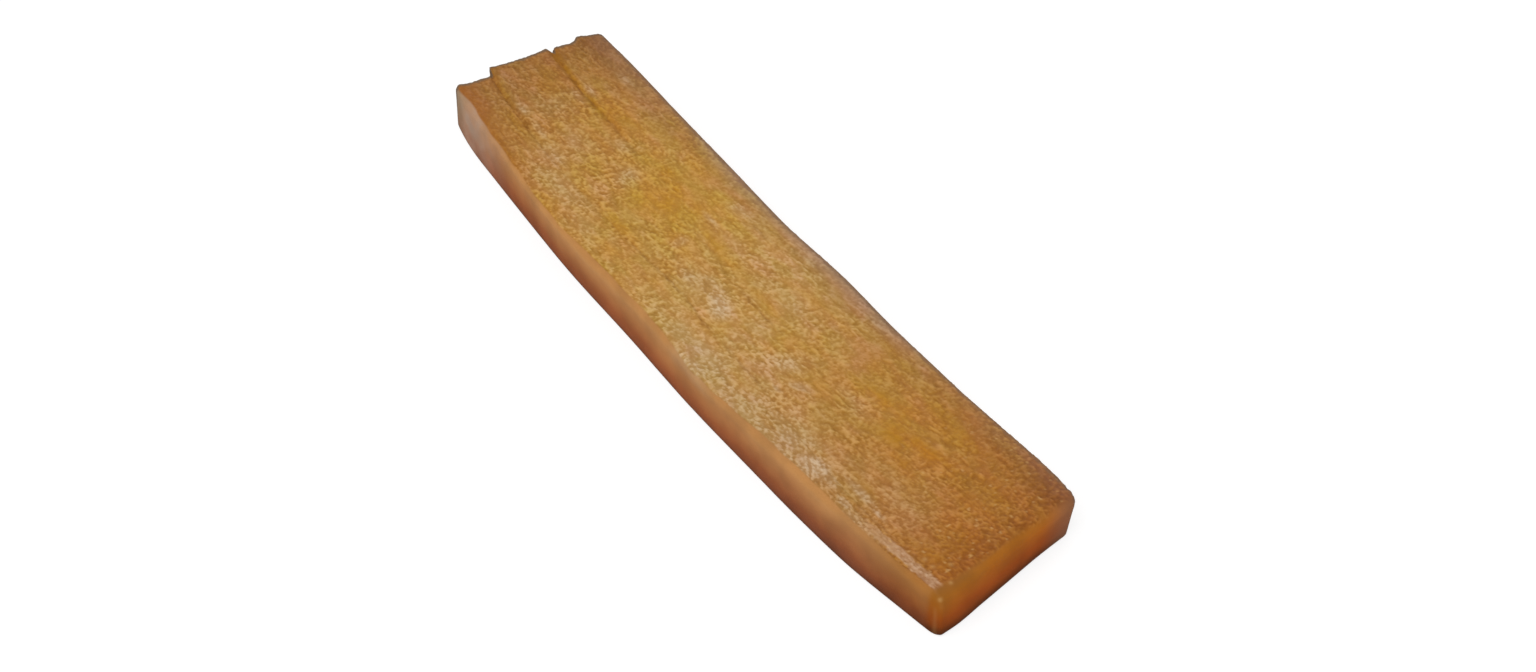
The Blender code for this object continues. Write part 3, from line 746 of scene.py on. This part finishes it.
# Colours of the dried pulp. Stops run along the bar for the skin, and from foot to top for the cuts.
# In the layers, x and y are millimetres and up is the share of the bar's height.
pulp = {
    "specular": 0.08,
    "coat": 0.22,
    "coatRoughness": 0.3,
    "roughness": (0.2, 0.9, 0.46, 0.36),
    "bloomRoughness": 0.1,
    "bumpStrength": 0.35,
    "bumpDistance": 0.00008,
    "plainColour": (0.43, 0.19, 0.045),
    "mappings": {"millimetres": (1000.0, 1000.0, 1000.0), "drawnAlong": (450.0, 1000.0, 1000.0)},
    # Noises, as their mapping, scale, detail and roughness.
    "noises": {
        "fine": ("millimetres", 2.4, 3.0, 0.6),
        "waves": ("millimetres", 0.13, 2.0, 0.5),
        "farReflectionNoise": ("millimetres", 0.25, 2.0, 0.5),
        "smears": ("millimetres", 0.16, 3.0, 0.5),
        "gold": ("drawnAlong", 0.24, 1.0, 0.5),
        "rosy": ("drawnAlong", 0.34, 1.0, 0.5),
        "hue": ("drawnAlong", 0.28, 2.0, 0.5),
        "under": ("drawnAlong", 0.3, 4.0, 0.6),
    },
    "fineShare": 0.45,
    "length": (-78.0, 78.0),
    "sideWaves": (0.3, 0.7, -0.055, 0.055, "LINEAR"),
    "waveStart": (0.05, 0.4),
    "hueFade": (0.32, 0.68),
    "deepHue": 0.8,
    "greenTint": (0.97, 1.025, 1.0),
    "ruddyTint": (1.03, 0.97, 1.0),
    "amberCalm": (0.0, 1.0, 1.0, 0.4, "LINEAR"),
    "deepCalm": 0.5,
    "bloomAndSheenFade": (0.25, 0.85),
    "bloomAndSheenLow": (0.44, 0.27, 0.13),
    "bloomAndSheenHigh": (0.62, 0.46, 0.29),
    "rightStart": (-45.0, -18.0),
    "rightEnd": (40.0, 20.0),
    "smearFade": (0.3, 0.7, 0.9, 1.1),
    "sideEdgeShadeFade": (-0.15, -0.6),
    "farEdgeShadeFade": (-0.02, -0.4),
    # Along the bar the skin is lightest in the middle and darker toward both ends: partly the pulp's own
    # colour, partly painted light falling off toward the ends.
    "skinStops": (
        (0.0, (0.30, 0.128, 0.023)), (0.16, (0.405, 0.19, 0.031)), (0.33, (0.44, 0.225, 0.035)),
        (0.55, (0.45, 0.235, 0.048)), (0.72, (0.41, 0.195, 0.033)), (0.88, (0.37, 0.152, 0.020)),
        (1.0, (0.32, 0.108, 0.010)),
    ),
    "skinLayers": (
        ("MULTIPLY", (0.99, 0.98, 0.6), ("gold", 0.48, 0.68, 0.0, 0.7)),
        ("MULTIPLY", (1.03, 1.0, 1.5), ("rosy", 0.52, 0.32, 0.0, 0.6)),
        ("MULTIPLY", "hueTint"),
        ("MULTIPLY", (1.0, 0.93, 0.2), ("amber",)),
        ("MULTIPLY", (0.72, 0.62, 0.29), ("grain", 0.55, 0.0, 0.0, 1.0, "LINEAR"), ("shallow",)),  # valleys: the grain's own darker tone and painted shade in them
        ("MULTIPLY", (1.33, 1.52, 2.5), ("grain", 0.45, 1.0, 0.0, 1.0, "LINEAR"), ("calm",)),  # crests: the grain's own lighter tone and painted light on them
        # pale patches: partly a dry sugar bloom, partly painted sheen, lighter on the crests
        ("MIX", "bloomAndSheenColour", ("bloomAndSheen",), ("grain", 0.1, 0.8, 0.75, 1.0)),
        # painted sheen by the left edge
        ("MULTIPLY", (0.97, 1.06, 1.36), ("leftEdgeSheen",)),
        # darker patches: partly deeper pulp, partly painted shade
        ("MULTIPLY", (0.70, 0.59, 0.36), ("deepAndShade",)),
        ("MIX", (0.34, 0.115, 0.018), ("x", -52.0, -72.0), ("y", -8.0, -14.0, 0.0, 0.62)),  # far left
        # painted shade toward the right edge, and painted grey sheen and shade at it
        ("MULTIPLY", (0.87, 0.85, 0.95), ("y", 11.0, 14.5)),
        ("MIX", (0.30, 0.22, 0.19), ("y", 13.5, 18.0), ("rightMiddle", 0.0, 1.0, 0.12, 0.52, "LINEAR")),
        # painted sheen streak along the left edge, broken up by the grain
        ("MIX", (0.50, 0.31, 0.185), ("sheenStreak",), ("grain", 0.15, 0.85, 0.35, 1.0, "LINEAR")),
        # painted shade in the thin lines
        ("MULTIPLY", (0.58, 0.48, 0.35), ("lines",)),
    ),
    # From foot to top the cuts go from dark to light: partly the pulp's own colour, partly painted shade
    # toward the foot, darkest in a thin line at the foot.
    "cutStops": (
        (0.0, (0.10, 0.04, 0.016)), (0.05, (0.17, 0.05, 0.018)), (0.12, (0.245, 0.067, 0.023)),
        (0.30, (0.30, 0.086, 0.025)), (0.62, (0.39, 0.158, 0.049)), (0.88, (0.43, 0.205, 0.068)),
        (1.0, (0.41, 0.19, 0.058)),
    ),
    "cutLayers": (
        # Painted grey reflection by the far end, and the pale rim of the side's middle.
        ("MIX", (0.36, 0.235, 0.165), ("x", -50.0, -73.0), ("farReflectionNoise", 0.3, 0.7, 0.6, 1.0),
         ("up", 0.0, 0.5, 0.6, 1.0), ("facingNear", -0.95, -0.5, 0.3, 1.0)),
        ("MIX", (0.50, 0.34, 0.19), ("x", 2.0, 9.0), ("x", 20.0, 12.0), ("up", 0.62, 0.95, 0.0, 0.35)),
        # Tints of the far corner, the near part and its middle height, and painted shade at its foot.
        ("MULTIPLY", (0.84, 0.92, 0.88), ("x", -71.0, -76.5)),
        ("MULTIPLY", (0.80, 0.69, 0.46), ("x", 55.0, 74.0)),
        ("MULTIPLY", (0.87, 0.86, 0.9), ("x", 20.0, 42.0), ("x", 74.0, 62.0), ("up", 0.85, 0.55)),
        ("MULTIPLY", (0.82, 0.86, 0.98), ("x", 20.0, 55.0), ("up", 0.5, 0.1)),
    ),
    # The near end likewise, with painted shade toward its foot.
    "endStops": (
        (0.0, (0.08, 0.022, 0.004)), (0.12, (0.14, 0.030, 0.003)), (0.27, (0.27, 0.053, 0.002)),
        (0.42, (0.33, 0.066, 0.002)), (0.75, (0.39, 0.11, 0.004)), (0.9, (0.355, 0.121, 0.012)),
        (1.0, (0.305, 0.115, 0.019)),
    ),
    "endLayers": (
        ("MIX", (0.255, 0.112, 0.057), ("facingLeft", -0.05, -0.4, 0.0, 0.8)),  # darker, greyer right corner
        ("MULTIPLY", (0.86, 0.92, 1.0), ("y", -11.0, -16.0)),
    ),
    "sideLayers": (
        ("MIX", (0.255, 0.112, 0.057), ("y", 9.5, 17.5), ("x", 66.0, 74.0, 0.0, 0.75)),
        ("MULTIPLY", "smear"),
    ),
    "underStops": ((0.3, (0.36, 0.135, 0.018)), (0.55, (0.42, 0.175, 0.028)), (0.75, (0.50, 0.25, 0.06))),
    "wholeLayers": (
        ("MIX", "underColour", ("facingDown", 0.6, 0.95)),
        # painted shade along the edges of the top that turn away
        ("MIX", (0.22, 0.12, 0.065), ("edge",), ("facingDown", -0.2, -0.45),
         ("fine", 0.35, 0.6, 0.55, 0.75)),
        # painted shade on the far end face
        ("MIX", (0.15, 0.095, 0.055), ("farRimShade", 0.0, 1.0, 0.0, 0.85, "LINEAR")),
        ("MIX", (0.54, 0.31, 0.11), ("glint",)),
    ),
}


# What the colours are made from: places, the mesh's marks, noises and what is worked out from them.
def pulpInputs(tree):
    coordinates = addNode(tree, "ShaderNodeTexCoord")
    mapped = {}
    for name, scale in pulp["mappings"].items():
        mapping = addNode(tree, "ShaderNodeMapping", name, Scale=scale)
        tree.links.new(coordinates.outputs["Object"], mapping.inputs["Vector"])
        mapped[name] = mapping.outputs[0]
    parts = addNode(tree, "ShaderNodeSeparateXYZ")
    tree.links.new(mapped["millimetres"], parts.inputs[0])
    inputs = dict(zip("xyz", parts.outputs))
    for name in markNames:
        inputs[name] = addNode(tree, "ShaderNodeAttribute", name, attribute_name=name).outputs["Fac"]
    for name, (source, scale, detail, roughness) in pulp["noises"].items():
        node = addNode(tree, "ShaderNodeTexNoise", name, Scale=scale, Detail=detail, Roughness=roughness)
        tree.links.new(mapped[source], node.inputs["Vector"])
        inputs[name] = node.outputs["Fac"]

    inputs["along"] = fitRange(tree, inputs["x"], *pulp["length"], shape="LINEAR")
    height = calculate(tree, "DIVIDE", inputs["z"], bar["thickness"])
    waves = fitRange(tree, inputs["waves"], *pulp["sideWaves"])
    start = fitRange(tree, height, *pulp["waveStart"])
    inputs["up"] = calculate(tree, "MULTIPLY_ADD", waves, start, height, clamp=True)
    fine = calculate(tree, "SUBTRACT", inputs["fine"], 0.5)
    inputs["grain"] = calculate(tree, "MULTIPLY_ADD", fine, pulp["fineShare"], inputs["grain"])

    hue = fitRange(tree, inputs["hue"], *pulp["hueFade"])
    hue = calculate(tree, "MAXIMUM", hue, calculate(tree, "MULTIPLY", inputs["deepAndShade"], pulp["deepHue"]))
    inputs["hueTint"] = mixColour(tree, hue, pulp["greenTint"], pulp["ruddyTint"])
    inputs["calm"] = fitRange(tree, inputs["amber"], *pulp["amberCalm"])
    deepCalm = calculate(tree, "MULTIPLY", inputs["deepAndShade"], pulp["deepCalm"])
    inputs["shallow"] = calculate(tree, "SUBTRACT", inputs["calm"], deepCalm, clamp=True)
    # Colour of the pale patches, part bloom and part painted sheen.
    bloomAndSheen = fitRange(tree, inputs["grain"], *pulp["bloomAndSheenFade"])
    inputs["bloomAndSheenColour"] = mixColour(tree, bloomAndSheen, pulp["bloomAndSheenLow"], pulp["bloomAndSheenHigh"])
    rightFades = [fitRange(tree, inputs["x"], *pulp[name]) for name in ("rightStart", "rightEnd")]
    inputs["rightMiddle"] = calculate(tree, "MULTIPLY", *rightFades)
    inputs["smear"] = fitRange(tree, inputs["smears"], *pulp["smearFade"])
    inputs["underColour"] = colourRamp(tree, inputs["under"], pulp["underStops"])
    # Painted shade: a thin dark line along the edges of the top that turn away, on the right side and the
    # far end.
    leftEdge = fitRange(tree, inputs["facingLeft"], *pulp["sideEdgeShadeFade"])
    farEdgeShade = fitRange(tree, inputs["facingNear"], *pulp["farEdgeShadeFade"])
    inputs["edge"] = calculate(tree, "MAXIMUM", leftEdge, farEdgeShade)
    return inputs


def pulpMaterial():
    material = bpy.data.materials.new("driedMangoPulp")
    material.use_nodes = True
    material.diffuse_color = (*pulp["plainColour"], 1.0)
    tree = material.node_tree
    inputs = pulpInputs(tree)
    skinColour = colourRamp(tree, inputs["along"], pulp["skinStops"])
    skinColour = layered(tree, skinColour, inputs, pulp["skinLayers"])
    cutColour = layered(tree, colourRamp(tree, inputs["up"], pulp["cutStops"]), inputs, pulp["cutLayers"])
    endColour = layered(tree, colourRamp(tree, inputs["up"], pulp["endStops"]), inputs, pulp["endLayers"])
    sideColour = mixColour(tree, inputs["endCut"], cutColour, endColour)
    sideColour = layered(tree, sideColour, inputs, pulp["sideLayers"])
    colour = mixColour(tree, inputs["skin"], sideColour, skinColour)
    colour = layered(tree, colour, inputs, pulp["wholeLayers"])

    roughness = fitRange(tree, inputs["grain"], *pulp["roughness"])
    roughness = calculate(tree, "MULTIPLY_ADD", inputs["bloomAndSheen"], pulp["bloomRoughness"], roughness)
    matt = calculate(tree, "SUBTRACT", 1.0, inputs["bloomAndSheen"], clamp=True)
    coat = calculate(tree, "MULTIPLY", calculate(tree, "MULTIPLY", inputs["skin"], pulp["coat"]), matt)
    bump = addNode(tree, "ShaderNodeBump", Strength=pulp["bumpStrength"], Distance=pulp["bumpDistance"])
    tree.links.new(inputs["fine"], bump.inputs["Height"])
    finish = tree.nodes["Principled BSDF"].inputs
    finish["Specular IOR Level"].default_value = pulp["specular"]
    finish["Coat Roughness"].default_value = pulp["coatRoughness"]
    tree.links.new(colour, finish["Base Color"])
    tree.links.new(roughness, finish["Roughness"])
    tree.links.new(coat, finish["Coat Weight"])
    tree.links.new(bump.outputs[0], finish["Normal"])
    print("pulp material made")
    return material


# Floor, lights and camera, in metres.
studio = {
    "floorHalf": 3.0,
    "floorDrop": 0.00005,
    "floorColour": (0.3, 0.3, 0.3),
    "floorRoughness": 0.9,
    "floorSpecular": 0.1,
    "floorGlow": 0.75,
    "worldStrength": 0.6,
    "lowerSky": (0.25, 0.22, 0.19),
    "upperSky": (1.0, 1.0, 1.0),
    "skyFade": (-0.1, 0.15),
    "lights": (  # name, place, size and power
        ("overheadSoftbox", (0.15, -0.45, 0.95), 0.9, 6.3),
        ("backSoftbox", (-0.55, 0.41, 0.85), 0.35, 0.5),
    ),
    "cameraPlace": (0.25493, -0.18159, 0.35357),
    "cameraRight": (0.59482, 0.80386, 0.0),
    "cameraUp": (-0.60455, 0.44734, 0.65909),
    "cameraBack": (0.52982, -0.39204, 0.75206),
    "lens": 58.59,
    "sensorWidth": 36.0,
    "clipStart": 0.01,
    "clipEnd": 20.0,
}


def paleFloor():
    bm = bmesh.new()
    bmesh.ops.create_grid(bm, x_segments=1, y_segments=1, size=studio["floorHalf"])
    bmesh.ops.translate(bm, verts=bm.verts, vec=(0.0, 0.0, -studio["floorDrop"]))
    mesh = bpy.data.meshes.new("studioFloor")
    bm.to_mesh(mesh)
    bm.free()
    paint = bpy.data.materials.new("paleFloor")
    paint.use_nodes = True
    finish = paint.node_tree.nodes["Principled BSDF"].inputs
    finish["Base Color"].default_value = (*studio["floorColour"], 1.0)
    finish["Roughness"].default_value = studio["floorRoughness"]
    finish["Specular IOR Level"].default_value = studio["floorSpecular"]
    finish["Emission Color"].default_value = (1.0, 1.0, 1.0, 1.0)
    finish["Emission Strength"].default_value = studio["floorGlow"]
    mesh.materials.append(paint)
    floor = bpy.data.objects.new("studioFloor", mesh)
    floor.visible_glossy = False
    bpy.context.scene.collection.objects.link(floor)


def softLight():
    world = bpy.data.worlds.new("paleStudio")
    world.use_nodes = True
    sky = world.node_tree
    sky.nodes["Background"].inputs["Strength"].default_value = studio["worldStrength"]
    coordinates = addNode(sky, "ShaderNodeTexCoord")
    height = addNode(sky, "ShaderNodeSeparateXYZ")
    sky.links.new(coordinates.outputs["Generated"], height.inputs[0])
    fade = fitRange(sky, height.outputs[2], *studio["skyFade"])
    shade = mixColour(sky, fade, studio["lowerSky"], studio["upperSky"])
    sky.links.new(shade, sky.nodes["Background"].inputs["Color"])
    bpy.context.scene.world = world
    for name, spot, size, power in studio["lights"]:
        lamp = bpy.data.lights.new(name, "AREA")
        lamp.size = size
        lamp.energy = power
        lampObject = bpy.data.objects.new(name, lamp)
        lampObject.location = spot
        lampObject.rotation_euler = Vector(spot).to_track_quat("Z", "Y").to_euler()
        bpy.context.scene.collection.objects.link(lampObject)


def photoCamera():
    camera = bpy.data.cameras.new("photoCamera")
    camera.sensor_width = studio["sensorWidth"]
    camera.sensor_fit = "HORIZONTAL"
    camera.lens = studio["lens"]
    camera.clip_start = studio["clipStart"]
    camera.clip_end = studio["clipEnd"]
    cameraObject = bpy.data.objects.new("photoCamera", camera)
    turn = Matrix((studio["cameraRight"], studio["cameraUp"], studio["cameraBack"])).transposed()
    cameraObject.matrix_world = Matrix.Translation(studio["cameraPlace"]) @ turn.to_4x4()
    bpy.context.scene.collection.objects.link(cameraObject)
    bpy.context.scene.camera = cameraObject


fineBar = driedMangoBar()
fineBar.data.materials.append(pulpMaterial())
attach(fineBar, "root")
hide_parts("mango_bar")
paleFloor()
softLight()
photoCamera()
bpy.context.scene.view_settings.view_transform = "Standard"
print("floor, lights and camera placed")
